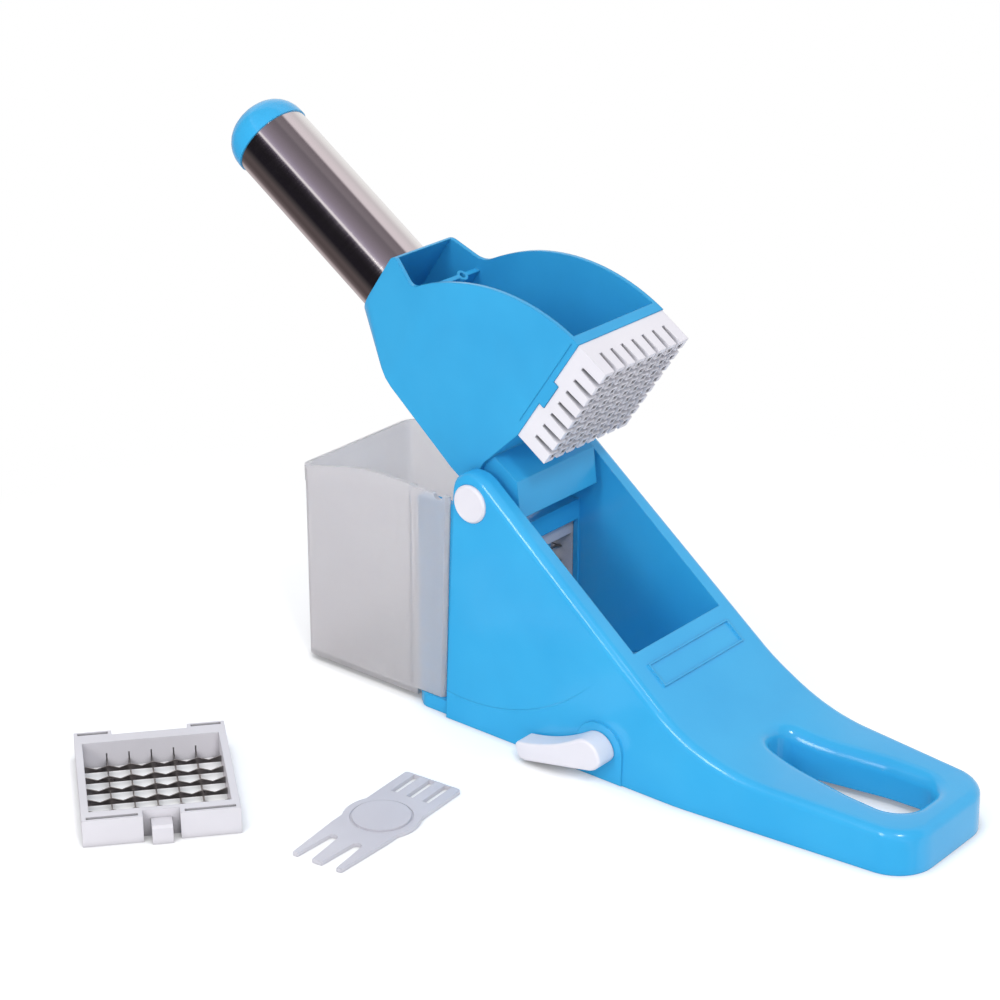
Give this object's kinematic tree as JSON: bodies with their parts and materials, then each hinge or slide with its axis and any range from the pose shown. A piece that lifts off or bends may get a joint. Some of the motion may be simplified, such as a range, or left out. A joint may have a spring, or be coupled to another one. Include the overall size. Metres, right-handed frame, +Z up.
{
  "type": "vegetable dicer",
  "caption": "Lever-press vegetable dicer: sloped base with a grip loop, swinging press head, blade cartridge, chip container, suction lock, spare cartridge and cleaning comb.",
  "frame": {"origin": "on the table, on the middle plane of the base, straight below the pivot axis of the press head", "axes": "+X forward to the grip loop, +Y to the side away from the suction lever, +Z up"},
  "size_m": [0.4085, 0.2771, 0.2623],
  "materials": {
    "body_plastic": "glossy injection-moulded plastic",
    "white_plastic": "satin white plastic",
    "frosted_plastic": "frosted translucent plastic",
    "tube_steel": "polished stainless steel",
    "blade_steel": "ground stainless steel",
    "screw_steel": "zinc-plated steel",
    "cup_rubber": "soft dark rubber"
  },
  "bodies": {
    "base": {"base_shell": "body_plastic", "pivot_pins": "white_plastic"},
    "head": {"head_shell": "body_plastic", "pusher_plate": "white_plastic", "pusher_screws": "screw_steel", "handle_tube": "tube_steel", "handle_cap": "body_plastic"},
    "cartridge": {"cartridge_frame": "white_plastic", "cartridge_cross_blades": "blade_steel", "cartridge_upright_blades": "blade_steel", "cartridge_latch": "white_plastic"},
    "bin": {"container": "frosted_plastic"},
    "lock_lever": {"suction_lever": "white_plastic", "cam_shaft": "white_plastic"},
    "lock_stem": {"suction_stem": "white_plastic", "suction_cup": "cup_rubber"},
    "spare_cartridge": {"spare_frame": "white_plastic", "spare_cross_blades": "blade_steel", "spare_upright_blades": "blade_steel", "spare_latch": "white_plastic"},
    "comb": {"cleaning_comb": "white_plastic"}
  },
  "joints": [
    {"name": "head_swing", "type": "hinge", "parent": "base", "child": "head", "pos_m": [0, 0, 0.111], "axis": [0, 1, 0], "range_deg": [0, 146]},
    {"name": "cartridge_slide", "type": "slide", "parent": "base", "child": "cartridge", "axis": [-1, 0, 0], "range_m": [0, 0.02]},
    {"name": "container_lift", "type": "slide", "parent": "base", "child": "bin", "axis": [0, 0, 1], "range_m": [0, 0.075]},
    {"name": "lever_turn", "type": "hinge", "parent": "base", "child": "lock_lever", "pos_m": [0.077, 0, 0.0145], "axis": [0, 1, 0], "range_deg": [0, 90]},
    {"name": "stem_slide", "type": "slide", "parent": "base", "child": "lock_stem", "axis": [0, 0, 1], "range_m": [-0.0016, 0], "deforming": ["suction_cup"]},
    {"name": "spare_lift", "type": "slide", "parent": "base", "child": "spare_cartridge", "axis": [0, 0, 1], "range_m": [0, 0.06]},
    {"name": "comb_lift", "type": "slide", "parent": "base", "child": "comb", "axis": [0, 0, 1], "range_m": [0, 0.06]}
  ],
  "couplings": [
    {"joint": "stem_slide", "follows": "lever_turn", "m_per_rad": -0.001018}
  ]
}
